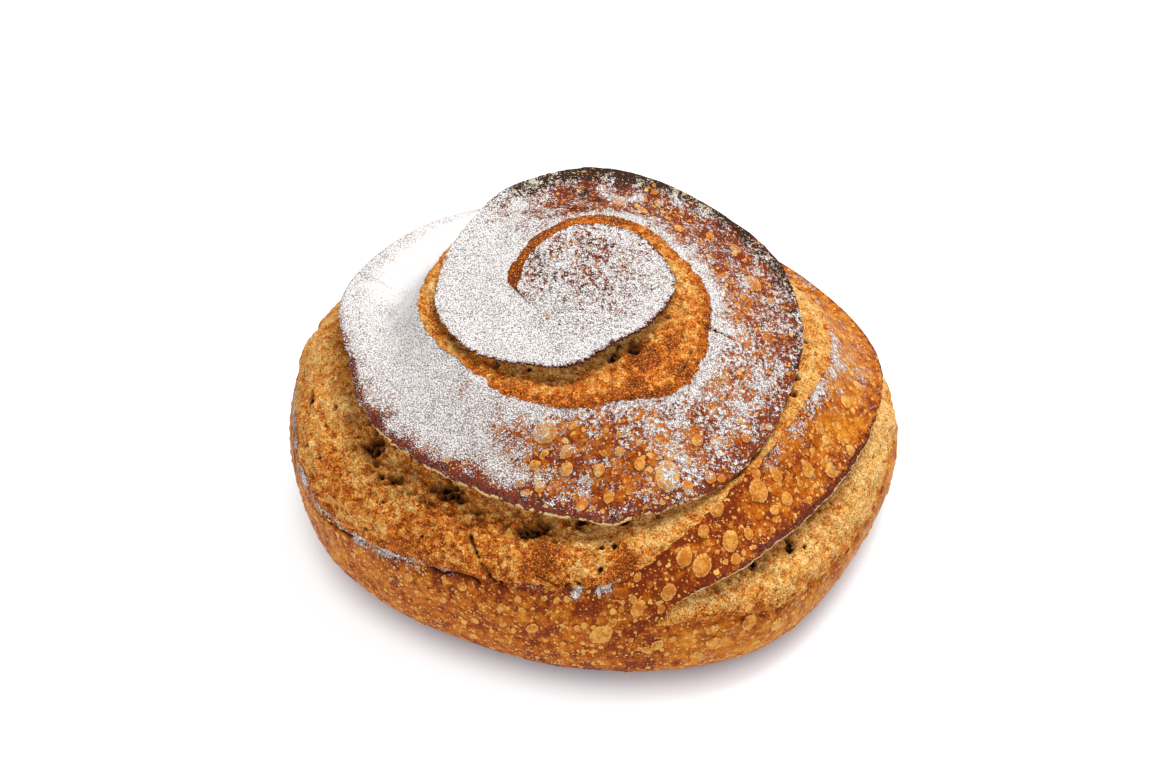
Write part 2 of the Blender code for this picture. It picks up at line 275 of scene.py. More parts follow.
# How toasted the crumb is along the cut, by the ear, midway and by the lip
TOAST_STATIONS = np.array((
    (0, 1.4, 1.4, 1.4), (60, 1.1, 1.15, 1.25), (110, 0.5, 0.6, 1.05), (135, 0.38, 0.52, 1.05),
    (160, 0.1, 0.6, 1.1), (180, 0.06, 0.66, 1.1), (205, 0.1, 0.6, 1), (250, 0.25, 0.52, 0.85),
    (300, 0.5, 0.45, 0.5), (340, 0.5, 0.45, 0.5), (440, 0.3, 0.3, 0.4), (480, 0.2, 0.22, 0.35),
    (520, 0.25, 0.25, 0.35), (560, 0.2, 0.24, 0.4), (590, 0.3, 0.46, 0.6), (625, 0.38, 0.64, 0.8),
    (650, 0.4, 0.5, 0.95), (672, 0.42, 0.42, 1), (700, 0.4, 0.34, 0.95), (850, 0.04, 0, 0.24),
    (900, 0.14, 0.12, 0.45), (941, 0.35, 0.35, 0.65),
))

# Blisters on the skin: bearing, degrees down the dome, radius
BLISTERS = (
    (233, 76.5, 2.3), (245, 71, 2.3), (238, 78.5, 1.4), (240, 82, 1.8), (246, 88.5, 2.1),
    (253, 74.5, 1.9), (252, 84.5, 1.9), (254, 87, 1.5), (258, 82.5, 2.7), (265, 67.5, 1.5),
    (271, 81.5, 5), (278, 90.5, 2.3), (283, 85, 1.7), (280, 87.5, 3), (290, 91, 3.8),
    (287, 104, 3.4), (297, 84, 3.6), (302, 92.5, 3.6), (312, 98, 2.4), (274, 75.5, 2.1),
    (280, 70, 3.4), (284, 71, 1.8), (283, 60.5, 1.8), (287, 66, 3.4), (294, 58, 3.8),
    (296, 61.5, 4.4), (304, 59.5, 4), (307, 52, 3.8), (317, 56, 4.8), (320, 61.5, 3.1),
    (323, 57, 2.7), (320, 53.5, 2.5), (329, 62, 3.4), (332, 66.5, 3), (340, 60, 2.7),
    (338, 62.5, 2.2), (343, 64, 1.5), (308, 60.5, 2.5), (312, 63.5, 1.3), (302, 63.5, 2.3),
    (301, 54.5, 2.6), (350, 64, 3), (356, 66.5, 2.6), (316, 61, 2.2), (339, 68.5, 2.6),
    (303, 42, 6), (305, 45.5, 2.7), (301, 43.5, 2.6), (311, 47, 2.9), (320, 44, 3),
    (307, 39.5, 2.3), (299, 37.5, 2.6), (310, 42, 2.6), (326, 48, 2.2), (317, 41, 2.6),
    (273, 27.5, 5), (279, 31.5, 3), (277, 35, 2.7), (267, 38.5, 2.5), (261, 38, 2.2),
    (266, 34, 2.2), (278, 42.5, 2.5), (287, 36, 2.6), (286, 41.5, 2.6), (296, 34, 2.2),
    (63, 36.5, 3.8), (59, 40.5, 2.6), (54, 37, 2.7), (54, 41.5, 2.2), (52, 33, 2.6), (41, 39, 2.6),
    (30, 46.5, 2.9), (16, 45, 4.6), (10, 47, 2.3), (36, 44, 2.2),
)
# Hollows in the crumb: bearing, degrees down, half length along the cut, half width, depth
HOLLOWS = (
    (190.5, 56, 3.8, 2.4, 3.6), (200, 61, 1.6, 1.4, 1.8), (206.5, 65, 3.4, 1.8, 3),
    (212, 68.5, 1.6, 1.6, 1.8), (196, 61, 1.6, 0.9, 1.4), (196, 50, 1.8, 1.2, 1.6),
    (193, 46, 1.5, 1.5, 1.8), (199, 54, 1.2, 1, 1.4), (216, 70, 1.2, 1.2, 1.6),
    (219, 70.5, 1.1, 1.4, 1.8), (211, 45, 2.6, 2.4, 6), (212, 46.5, 6.5, 5, 3),
    (220, 50.5, 2.2, 2, 2.4), (223, 49, 2.4, 2, 2.4), (197, 68.5, 0.8, 1.4, 1.4),
    (238, 45, 10, 4, 5), (263, 47.5, 9, 4, 8), (351, 52.5, 1.6, 2, 3),
    (345, 52.5, 1.6, 2.4, 3), (4, 55, 1.4, 2.4, 1.8), (339, 23.5, 5.4, 3.2, 4.5),
    (329, 21, 4, 3, 3.5), (236, 15.5, 1.9, 1.5, 2.5), (266, 14.5, 1.5, 1.2, 2),
    (4, 33.5, 0.8, 1.6, 1.4), (11, 33.5, 0.8, 1.6, 1.2), (314, 70.5, 3.2, 3, 4),
    (305, 68, 3, 2.6, 3.5), (335, 78.5, 1.2, 1.6, 2), (287, 47, 3, 1.6, 2.5),
    (276, 46, 5, 2, 3.5),
)
# Cracks: depth, half width, then the points that they run through
CRACKS = (
    (2.6, 1.1, ((247, 53), (249, 56.5), (250, 59.5), (251, 62.5), (254, 65))),
    (1.6, 0.8, ((237, 68), (241, 68.4), (243, 66.5), (247, 66), (249, 67))),
    (1.6, 0.8, ((262.5, 59), (264.5, 60.5), (266, 62))),
    (1.6, 0.8, ((268, 62), (270, 60.5), (271, 61.5))),
    (1.2, 0.7, ((356, 34), (355, 36.5), (354, 39))),
    (1.2, 0.7, ((357, 46), (355, 48.5), (353, 51.5))),
    (0.9, 0.5, ((330, 32), (337, 32.6), (344, 32.6))),
    (1.5, 0.9, ((204, 76), (209, 76.5), (214, 75), (219, 73.5))),
    (1.5, 0.9, ((190, 68), (193, 72), (197, 75))),
)

# Names of the values that are painted on the crust for its material
PAINTED = ("crumb", "flour", "burn", "toast", "hollow", "blister", "crest", "edge", "char", "clumpy")
MOST_PAINT = 1.5
# Noise in the colours: size, detail and roughness
GRAINS = {
    "coarse": (3.0, 3.0, 0.6), "fine": (0.9, 3.0, 0.6), "speck": (0.8, 1.0, 0.5),
    "dust": (0.6, 1.0, 0.5), "powder": (0.5, 0.0, 0.5), "clump": (1.7, 3.0, 0.62),
    "mottle": (5.5, 2.0, 0.5), "glint": (0.6, 1.0, 0.5),
}
SWIRL_GRAIN = (1.6, 1.0, 0.5)
SWIRL_REACH = 1.6
WEB_SIZE = 2.1
# Flecks, small blisters that are only coloured: cell size, and how much of a cell one may fill
FLECK_CELLS = ((3.6, 0.66), (2.0, 0.72), (1.25, 0.8))
FLECK_TONES = ("BC6E1C", "E6B058")
FLECK_RIM = "F2C878"
BLISTER_TONES = ("B8681C", "E2A850")
BLISTER_SHADE = "7E360A"
BLISTER_RIM = "EFC276"
# Skin and crumb from pale to dark: each tone, where it begins to take over and where it has
PALE_SKIN = "CE8222"
SKIN_TONES = (("A85406", 0.0, 0.4), ("702604", 0.36, 0.66), ("2C1509", 0.84, 1.12))
# Painted shade for the skin in cracks, sunken spots, the fold and under the ears
HOLLOW_SHADE_SKIN = "2C1509"
PALE_CRUMB = "F4C27A"
CRUMB_TONES = (("DE9338", -0.2, 0.3), ("C6640A", 0.26, 0.62), ("94420E", 0.62, 1.0),
               ("662A0E", 1.0, 1.4))
STRAND_TONE = "F8CC7C"
SPECK_TONES = ("BE7022", "78340C")
GLINT_TONES = ("FFD688", "E8963A")
# Painted shade in the crumb's pores, caves, sunken spots and cracks: shaded, then deepest
HOLLOW_SHADE_TONES = ("8C521E", "24130A")
CHAR_AND_SHADE_TONES = ("36120E", "64271A")
EDGE_TONE = "E6BE82"
FLOUR_TONES = ("968A84", "E3E1E0")
BURNT_FLOUR = "C0B092"
BUMP_STRENGTH = 0.9
BUMP_DEPTH = 0.5
CRUST_SHINE = 0.1

# The table, the lights and the camera, in metres
TABLE_HALF = 4.0
TABLE_TINT = "AAAAAA"
TABLE_ROUGHNESS = 0.9
# The table glows: its colours from painted shadow close under the loaf to open white, its strength, then
# the painted shadow's reach, range and samples
TABLE_SHADOW_GLOW_TONES = ("76727C", "FCFDFF")
TABLE_GLOW_STRENGTH = 0.8
SHADE_REACH = 0.022
SHADE_RANGE = (0.12, 0.74)
SHADE_SAMPLES = 16
ROOM_BRIGHTNESS = 0.42
LIGHTS = {"key": ((0.42, 0.36, 1.4), 0.8, 25.0), "fill": ((-0.5, -1.2, 0.9), 1.0, 7.0)}
LIGHT_TARGET = (0.0, 0.0, 0.04)
CAMERA_PLACE = (-0.0042, -0.8374, 0.8098)
CAMERA_TILT = 48.0
CAMERA_LENS = 84.36
CAMERA_SENSOR = 36.0
CAMERA_REACH = (0.05, 20.0)


def smooth_step(low, high, value):
    """0 below low, 1 above high, and an even ease between them."""
    share = np.clip((value - low) / (high - low), 0.0, 1.0)
    return share * share * (3 - 2 * share)


def scatter(cells, salt):
    """Four even random numbers from 0 to 1 for each whole-numbered cell of space."""
    mixed = (cells[..., 0] * 73856093) ^ (cells[..., 1] * 19349663) ^ (cells[..., 2] * 83492791)
    mixed = mixed + salt * 7919
    mixed = (mixed ^ (mixed >> 13)) * 0x45D9F3B
    return RANDOM[(mixed ^ (mixed >> 17)) & (len(RANDOM) - 1)]


def soft_noise(place, size, salt=0):
    """Soft random unevenness about -1 to 1, with lumps of a given size."""
    scaled = place / size
    base = np.floor(scaled).astype(np.int64)
    share = scaled - base
    ease = share ** 3 * (share * (share * 6 - 15) + 10)
    total = np.zeros(place.shape[:-1])
    for corner in product((0, 1), repeat=3):
        weight = 1.0
        for axis, side in enumerate(corner):
            weight = weight * (ease[..., axis] if side else 1 - ease[..., axis])
        lean = scatter(base + np.array(corner), salt)[..., :3] - 0.5
        total += weight * np.einsum("...k,...k", lean, share - np.array(corner))
    return total * NOISE_GAIN


def nearest_seeds(place, size, salt=0):
    """Distance in cell sizes to the nearest and second nearest seed, and the nearest one's number."""
    scaled = place / size
    base = np.floor(scaled).astype(np.int64)
    nearest = np.full(place.shape[:-1], 9.0)
    second = nearest.copy()
    number = np.zeros(place.shape[:-1])
    for offset in product((-1, 0, 1), repeat=3):
        cell = base + np.array(offset)
        seed = scatter(cell, salt)
        gap = cell + seed[..., :3] - scaled
        distance = np.einsum("...k,...k", gap, gap)
        closer = distance < nearest
        second = np.where(closer, nearest, np.minimum(second, distance))
        number = np.where(closer, seed[..., 3], number)
        nearest = np.minimum(nearest, distance)
    return np.sqrt(nearest), np.sqrt(second), number


def layered(place, layers):
    """Layers of soft noise added up, each with its height, lump size and salt."""
    return sum(height * soft_noise(place, size, salt) for height, size, salt in layers)


def between(before, start, end, after, share):
    """A smooth way from start to end that minds the values on both sides of them."""
    return 0.5 * (2 * start + (end - before) * share
                  + (2 * before - 5 * start + 4 * end - after) * share ** 2
                  + (3 * (start - end) + after - before) * share ** 3)


def round_reach(bearing):
    """The belly's reach at a bearing, smooth between its stations."""
    values = np.array(BELLY_REACH)
    step = 360.0 / len(values)
    spot = (bearing % 360.0) / step
    first = np.floor(spot).astype(int)
    return between(*(values[(first + k) % len(values)] for k in (-1, 0, 1, 2)), spot - first)


def cut_values(turn):
    """The cut's station values at each turn, smooth and without overshoot."""
    turns, values = CUT_STATIONS[:, 0], CUT_STATIONS[:, 1:]
    slopes = np.diff(values, axis=0) / np.diff(turns)[:, None]
    left, right = slopes[:-1], slopes[1:]
    even = np.where(left * right > 0, 2 * left * right / (left + right + 1e-30), 0.0)
    even = np.vstack([np.zeros(7), even, np.zeros(7)])
    turn = np.clip(turn, turns[0], turns[-1])
    index = np.clip(np.searchsorted(turns, turn, side="right") - 1, 0, len(turns) - 2)
    length = (turns[index + 1] - turns[index])[:, None]
    share = ((turn - turns[index])[:, None]) / length
    ease = share * share * (3 - 2 * share)
    found = (values[index] + (values[index + 1] - values[index]) * ease
             + even[index] * length * share * (1 - share) ** 2
             - even[index + 1] * length * share ** 2 * (1 - share))
    return found.T


def dome_point(down, bearing):
    """Points on the plain dome."""
    angle = np.radians(bearing)
    crown = np.radians(np.minimum(down, 90.0))
    skirt = np.radians(np.maximum(down - 90.0, 0.0))
    reach = round_reach(bearing) * np.maximum(np.sin(crown), 0.0) ** CROWN_BLUNTNESS
    reach = reach * (FOOT_SHARE + (1 - FOOT_SHARE) * np.cos(skirt))
    lean = CROWN_LEAN[0] * np.cos(angle) + CROWN_LEAN[1] * np.sin(angle)
    height = BELLY_HEIGHT * (1 - np.sin(skirt)) + CROWN_RISE * np.cos(crown) + lean * np.sin(2 * crown)
    behind = np.maximum(np.cos(np.radians(bearing - BACK_BEARING)), 0.0)
    share = np.clip(down - BACK_FALL_START, 0.0, 90.0 - BACK_FALL_START) / (90.0 - BACK_FALL_START)
    height = height - BACK_FALL * behind * np.sin(np.pi * share) ** 2
    offset = np.maximum(np.cos(crown), 0.0) ** TOP_OFFSET_FADE
    return np.stack([TOP_OFFSET[0] * offset + reach * np.cos(angle) - BOX_CENTRE[0],
                     TOP_OFFSET[1] * offset + reach * np.sin(angle) - BOX_CENTRE[1],
                     height], axis=-1)


def unit(vectors):
    """Vectors of length one."""
    return vectors / np.maximum(np.linalg.norm(vectors, axis=-1, keepdims=True), 1e-9)


def dome_normal(down, bearing):
    """Outward directions of the plain dome."""
    off_pole = np.clip(down, 1.0, 179.0)
    along = dome_point(off_pole + 0.5, bearing) - dome_point(off_pole - 0.5, bearing)
    across = dome_point(off_pole, bearing + 0.5) - dome_point(off_pole, bearing - 0.5)
    outward = unit(np.cross(along, across))
    share = smooth_step(0.0, POLE_CALM, down)[..., None]
    return unit(outward * share + POLE_NORMAL * (1 - share))


POLE_NORMAL = np.array((0.0, 0.0, 1.0))
POLE_NORMAL = unit(np.mean(dome_normal(np.full(36, POLE_CALM), np.arange(0.0, 360.0, 10.0)), axis=0))


def ear_tip(turn):
    """The ear's place down the dome and its height over it, for each turn."""
    values = cut_values(turn)
    wave = np.array([noise.noise(Vector((one / EAR_WAVE, 0.0, 0.0))) for one in turn])
    wave = wave * np.minimum(values[2], 1.0)
    return values[0] + EAR_WAVE_REACH * wave, values[2] + EAR_WAVE_HEIGHT * wave


def curve_through(points, samples):
    """Even samples of a smooth curve through control points, one curve for each column."""
    points = np.stack(points, axis=1)
    points = np.concatenate([2 * points[:, :1] - points[:, 1:2], points,
                             2 * points[:, -1:] - points[:, -2:-1]], axis=1)
    spot = np.linspace(0.0, points.shape[1] - 3 - 1e-9, samples)
    first = np.floor(spot).astype(int)
    share = (spot - first)[None, :]
    return between(*(points[:, first + k] for k in range(4)), share)


def section_path(turn, to_foot):
    """Finely sampled lines across crumb and skin, then the ear's underside or the skirt."""
    _, width, _, depth, undercut, bulge, sag = np.where(turn < 0, 0.0, cut_values(turn))
    tip_down, _ = np.where(turn < 0, 0.0, ear_tip(turn))
    next_turn = turn + 360
    next_down, next_height = ear_tip(next_turn)
    chips = sum(size * soft_noise(np.outer(next_turn * pace, (1.0, 0.0, 0.0)), 1.0, CHIP_SALT)
                for pace, size in EAR_CHIPS)
    tongues = sum(reach * np.exp(-((next_turn - spot) / half) ** 2)
                  for spot, half, reach in EAR_TONGUES)
    next_down = next_down + (chips + tongues) * smooth_step(0.5, 3.0, next_height)
    beyond = next_turn > LAST_TURN
    next_down = np.where(beyond, SKIRT_DOWN, next_down)
    next_height = np.where(beyond, 0.0, next_height)
    lip_down = tip_down + width
    crumb_down = curve_through([tip_down + a * undercut + b * width for a, b, _, _ in CRUMB_LINE],
                               CRUMB_SAMPLES)
    crumb_height = curve_through([c * depth + d * bulge for _, _, c, d in CRUMB_LINE], CRUMB_SAMPLES)
    share = np.linspace(0.0, 1.0, SKIN_SAMPLES)[None, 1:]
    skin_down = lip_down[:, None] + (next_down - lip_down)[:, None] * share
    curl = np.maximum(1 - (next_down[:, None] - skin_down) / EAR_CURL_LENGTH, 0.0) ** 2
    skin_height = (LIP_BULGE * bulge[:, None] * (1 - share) ** 2 - sag[:, None] * np.sin(np.pi * share)
                   + next_height[:, None] * curl)
    down = np.hstack([crumb_down, skin_down])
    height = np.hstack([crumb_height, skin_height])
    region = np.hstack([np.linspace(0.0, 1.0, CRUMB_SAMPLES), 1.0 + share[0]])
    region = np.broadcast_to(region, down.shape)
    if to_foot:
        fall = np.linspace(0.0, 1.0, SKIRT_SAMPLES)[None, :]
        end_down = next_down[:, None] + (FOOT_DOWN - next_down)[:, None] * fall
        end_height = np.zeros(end_down.shape)
    else:
        _, _, _, deep, under, _, _ = cut_values(next_turn)
        thickness = np.minimum(EAR_THICKNESS, EAR_THICKNESS_SHARE * next_height)
        end_down = curve_through([next_down + a * under for a, _, _, _ in UNDERSIDE_LINE],
                                 UNDERSIDE_SAMPLES)
        end_height = curve_through([b * next_height + c * thickness + d * deep
                                    for _, b, c, d in UNDERSIDE_LINE], UNDERSIDE_SAMPLES)
        end_down = np.maximum(end_down, 0.0)
    end_region = np.broadcast_to(np.linspace(2.0, 3.0, end_down.shape[1]), end_down.shape)
    return (down, height, region), (end_down, end_height, end_region)


def evenly_spaced(path, bearing, rows):
    """Resample each line so that its points lie the same distance apart."""
    down, height, region = path
    place = dome_point(np.maximum(down, 0.0), bearing) + dome_normal(down, bearing) * height[..., None]
    steps = np.linalg.norm(np.diff(place, axis=1), axis=-1) + 1e-6
    along = np.hstack([np.zeros((len(down), 1)), np.cumsum(steps, axis=1)])
    found = [[], [], [], []]
    for column in range(len(down)):
        wanted = np.linspace(0.0, along[column, -1], rows + 1)
        for values, source in zip(found, (down, height, region)):
            values.append(np.interp(wanted, along[column], source[column]))
        found[3].append(wanted)
    return [np.array(values) for values in found]


def station_values(stations, turn):
    """Each of the stations' values at every turn, as columns."""
    return [np.interp(turn, stations[:, 0], values)[:, None] for values in stations.T[1:]]


def station_blend(stations, turn, from_near, to_far, near_there, far_there):
    """A painted value along the cut and across a ribbon, from its station values."""
    near, middle, far = station_values(stations, turn)
    return (middle + (near - middle) * smooth_step(*NEAR_FADE, from_near) * near_there
            + (far - middle) * smooth_step(*FAR_FADE, to_far) * far_there)


def crumb_relief(place, opening, pebbly):
    """Height, fine height and painted shade of torn crumb: lumps, pebbles, pores and webs by the ear."""
    warp = layered(place, CRUMB_WARP)[..., None]
    pebble, _, _ = nearest_seeds(place + warp, *PEBBLE_CELLS)
    fine = pebbly * (layered(place, FINE_CRUMB_NOISE) + PEBBLE_RISE * (0.6 - pebble))
    pore, _, number = nearest_seeds(place + 1.6 * warp, *PORE_CELLS)
    size = 0.08 + 0.24 * smooth_step(0.5, 1.0, number)
    pit = smooth_step(1.2, 0.3, pore / size) * (number > 0.5) * pebbly
    web, next_web, _ = nearest_seeds(place + 1.8 * warp, *WEB_CELLS)
    cave = smooth_step(0.06, 0.4, next_web - web) * opening
    relief = layered(place, CRUMB_NOISE) + fine - PORE_DEPTH * pit - WEB_DEPTH * cave
    return relief, fine, np.clip(PORE_SHADE * pit + WEB_SHADE * cave, 0.0, 1.0)


def set_in(place, bearing, down, length, width):
    """Distance from a named spot, counted in its half length along the cut and its half width."""
    spot = dome_point(np.array(down), np.array(bearing))
    along = unit(dome_point(np.array(down), np.array(bearing - 0.5)) - spot)
    across = unit(dome_point(np.array(down + 0.5), np.array(bearing)) - spot)
    outward = np.cross(along, across)
    offset = place - spot
    return np.sqrt((offset @ along / length) ** 2 + (offset @ across / width) ** 2
                   + (offset @ outward / SPOT_HEIGHT) ** 2)


def near_spot(place, bearing, down, reach):
    """The points within a reach of a named spot."""
    offset = place - dome_point(np.array(down), np.array(bearing))
    return np.einsum("...k,...k", offset, offset) < (reach + SPOT_HEIGHT) ** 2


def paint_patches(values, place, patches, layers, fade, strength=1.0):
    """Raise a painted value inside round patches with uneven rims."""
    for bearing, down, radius in patches:
        near = near_spot(place, bearing, down, radius * SPOT_MARGIN)
        away = set_in(place[near], bearing, down, radius, radius) + layered(place[near], layers)
        values[near] = np.maximum(values[near], strength * smooth_step(*fade, away))


def crack_distance(place, points):
    """Distance to a crack's line, measured along the crust."""
    stops = [dome_point(np.array(float(down)), np.array(float(bearing))) for bearing, down in points]
    nearest = np.full(place.shape[:-1], 99.0)
    for start, end in zip(stops, stops[1:]):
        step = end - start
        share = np.clip((place - start) @ step / (step @ step), 0.0, 1.0)
        offset = place - start - share[..., None] * step
        outward = unit(start - INNER_MIDDLE)
        offset = offset - (offset @ outward)[..., None] * outward
        nearest = np.minimum(nearest, np.linalg.norm(offset, axis=-1))
    return nearest


def lay_out(first, last, columns, rows, end_rows):
    """The smooth outer grid of one piece, with its distances to the cut's lip and the next ear."""
    step = (last - first) / columns
    extra = len(OVERLAP_SINK)
    turn = np.linspace(first - extra * step, last + extra * step, columns + 2 * extra + 1)
    if first < 0:
        turn = turn[extra:]
    bearing = (CUT_START_BEARING - turn)[:, None]
    to_foot = first > FIRST_BASE_TURN
    front, end = section_path(turn, to_foot)
    front = evenly_spaced(front, bearing, rows)
    end = evenly_spaced(end, bearing, end_rows)
    down, height, region, along = (np.hstack([one, other[:, 1:]]) for one, other in zip(front, end))
    along[:, rows + 1:] += along[:, rows:rows + 1]
    plain = dome_point(np.maximum(down, 0.0), bearing)
    outward = dome_normal(down, bearing)
    calm = np.clip(plain[..., 2] / FOOT_CALM, 0.0, 1.0)
    lumps = np.array([noise.noise(Vector(point)) for point in (plain / SKIN_LUMP).reshape(-1, 3)])
    lumps = lumps.reshape(height.shape) * SKIN_LUMP_HEIGHT * calm
    place = plain + outward * (height + lumps)[..., None]
    normal = np.cross(np.gradient(place, axis=0), np.gradient(place, axis=1))
    size = np.linalg.norm(normal, axis=-1, keepdims=True)
    normal = np.where(size > 1e-9, normal / np.maximum(size, 1e-9), outward)
    lip_at = np.array([np.interp(1.0, region[k], along[k]) for k in range(len(turn))])[:, None]
    _, width, _, depth, _, _, _ = np.where(turn < 0, 0.0, cut_values(turn))[..., None]
    return SimpleNamespace(
        turn=turn, place=place, normal=normal, region=region, to_foot=to_foot, above_table=plain[..., 2],
        inside=lip_at - along, crumb_length=lip_at, to_tip=along[:, rows:rows + 1] - along,
        width=width, depth=depth, next_lift=cut_values(turn + 360)[2][:, None])


def tear_crumb(ground):
    """Lower and roughen the crumb between the ear and the cut's ragged lip."""
    place = ground.place
    ragged = layered(place, LIP_NOISE)
    crumb = smooth_step(-0.5, 0.6, ground.inside + ragged * smooth_step(0.5, 4.0, ground.crumb_length))
    ground.crumb = crumb * smooth_step(0.0, 1.0, ground.width) * (ground.region < 2)
    share = np.clip(ground.region, 0.0, 1.0)
    opening, pebbly = station_values(OPENING_STATIONS, ground.turn)
    pebbly = pebbly * (1 - 0.75 * ground.smooth)
    opening = opening * smooth_step(0.62, 0.34, share)
    opening = opening * smooth_step(-0.7, 0.4, layered(place, OPENING_NOISE))
    torn = ground.crumb > 0
    relief, fine, dark = (np.zeros(torn.shape) for _ in range(3))
    relief[torn], fine[torn], dark[torn] = crumb_relief(place[torn], opening[torn], pebbly[torn])
    amount = ground.crumb * np.minimum(ground.depth / 3.0, 1.0)
    fold = np.exp(-((ground.inside + 2.2 + ragged) / 0.9) ** 2) * smooth_step(6.0, 12.0, ground.width)
    ground.relief = relief * amount - FOLD_DEPTH * fold
    ground.crest = fine * amount
    # Painted shade in the pores and caves, and a little in the fold by the lip
    ground.hollow = np.maximum(dark * amount, 0.15 * fold)


def sink_hollows(ground):
    """Sink the named hollows and cracks."""
    for bearing, down, length, width, depth in HOLLOWS:
        near = near_spot(ground.place, bearing, down, max(length, width) * SPOT_MARGIN)
        near &= ground.region < 1.5
        spot = ground.place[near]
        away = set_in(spot, bearing, down, length, width) * (1 + layered(spot, HOLLOW_NOISE))
        warped = spot + layered(spot, HOLLOW_WARP)[..., None]
        web, next_web, _ = nearest_seeds(warped, *STRAND_CELLS)
        strands = 0.55 + 0.45 * smooth_step(0.0, 0.3, next_web - web)
        pit = smooth_step(*HOLLOW_FADE, away) * np.maximum(ground.crumb[near], 0.3)
        ground.relief[near] -= depth * pit * strands
        # Painted shade: the deeper the sunken spot, the darker
        painted_shade = pit * strands * min(0.75 + depth / 14, 1.0)
        ground.hollow[near] = np.maximum(ground.hollow[near], painted_shade)
    for depth, width, points in CRACKS:
        middle = points[len(points) // 2]
        near = near_spot(ground.place, *middle, CRACK_MARGIN)
        spot = ground.place[near]
        away = crack_distance(spot, points) + layered(spot, CRACK_NOISE)
        split = smooth_step(width, 0.3 * width, away)
        ground.relief[near] -= depth * split
        # Painted shade along the crack
        ground.hollow[near] = np.maximum(ground.hollow[near], CRACK_SHADE * split)


def raise_blisters(ground):
    """Swell the named blisters and scattered ones on skin with little flour."""
    skin = (1 - ground.crumb) * (ground.region < 2 + ground.to_foot)
    skin = skin * smooth_step(0.0, 2.5, np.abs(ground.to_tip) + 3.0 * (ground.next_lift < 0.5))
    ground.relief += skin * layered(ground.place, SKIN_NOISE)
    ground.blister = np.zeros(skin.shape)
    bare = smooth_step(0.62, 0.3, ground.flour) * skin
    bubbly = bare > 0.02
    place = ground.place[bubbly]
    warped = place + layered(place, BLISTER_WARP)[..., None]
    for size, height, salt in SMALL_BLISTERS:
        seed, _, number = nearest_seeds(warped, size, salt)
        cone = np.clip(CONE_TOP - seed / (0.1 + 0.18 * number), 0.0, 1.0)
        cone = cone * (number > 1 - 0.4 * bare[bubbly])
        ground.relief[bubbly] += height * smooth_step(0.2, 0.9, cone) * number
        ground.blister[bubbly] = np.maximum(ground.blister[bubbly], cone)
    for bearing, down, radius in BLISTERS:
        near = near_spot(ground.place, bearing, down, radius * SPOT_MARGIN)
        spot = ground.place[near]
        uneven = 1.1 + 0.25 * soft_noise(spot, radius * 1.3, BLISTER_SALT)
        away = set_in(spot, bearing, down, radius, radius) * uneven
        cone = np.clip(CONE_TOP - away, 0.0, 1.0) * skin[near]
        swell = min(radius, HIGHEST_BLISTER) * smooth_step(0.3, 0.9, cone)
        ground.relief[near] += BLISTER_RISE * swell
        ground.blister[near] = np.maximum(ground.blister[near], cone)


def paint_skin(ground):
    """How floury, dark and toasted each point is, from the stations along the cut."""
    place, turn = ground.place, ground.turn
    near_there = smooth_step(0.0, 2.0, ground.width)
    far_there = smooth_step(*EAR_STARTS, ground.next_lift)
    reach = (turn, -ground.inside, ground.to_tip, near_there, far_there)
    flour = station_blend(FLOUR_STATIONS, *reach)
    patchy = (1.15 - np.clip(flour, 0.0, 1.0)) * np.clip(3.0 * flour, 0.0, 1.0)
    lip_flour = station_values(LIP_FLOUR_STATIONS, turn)[0]
    lip_flour = lip_flour * smooth_step(-0.9, 0.5, layered(place, LIP_FLOUR_NOISE))
    flour = flour + lip_flour * smooth_step(*LIP_FLOUR_FADE, -ground.inside)
    ground.flour = flour + patchy * layered(place, FLOUR_NOISE)
    paint_patches(ground.flour, place, FLOUR_PATCHES, FLOUR_PATCH_NOISE, FLOUR_PATCH_FADE,
                  FLOUR_PATCH_FLOUR)
    ground.burn = station_blend(BURN_STATIONS, *reach) + layered(place, BURN_NOISE)
    near, middle, far = station_values(TOAST_STATIONS, turn)
    share = np.clip(ground.region, 0.0, 1.0)
    toast = near + (middle - near) * smooth_step(0.05, 0.5, share)
    toast = toast + (far - toast) * smooth_step(7.0, 1.0, ground.inside)
    toast = toast + layered(place, TOAST_NOISE)
    ground.smooth = np.zeros(place.shape[:-1])
    paint_patches(ground.smooth, place, BAKED_PATCHES, BAKED_PATCH_NOISE, BAKED_PATCH_FADE)
    ground.toast = toast + (BAKED_TOAST - toast) * 0.85 * ground.smooth


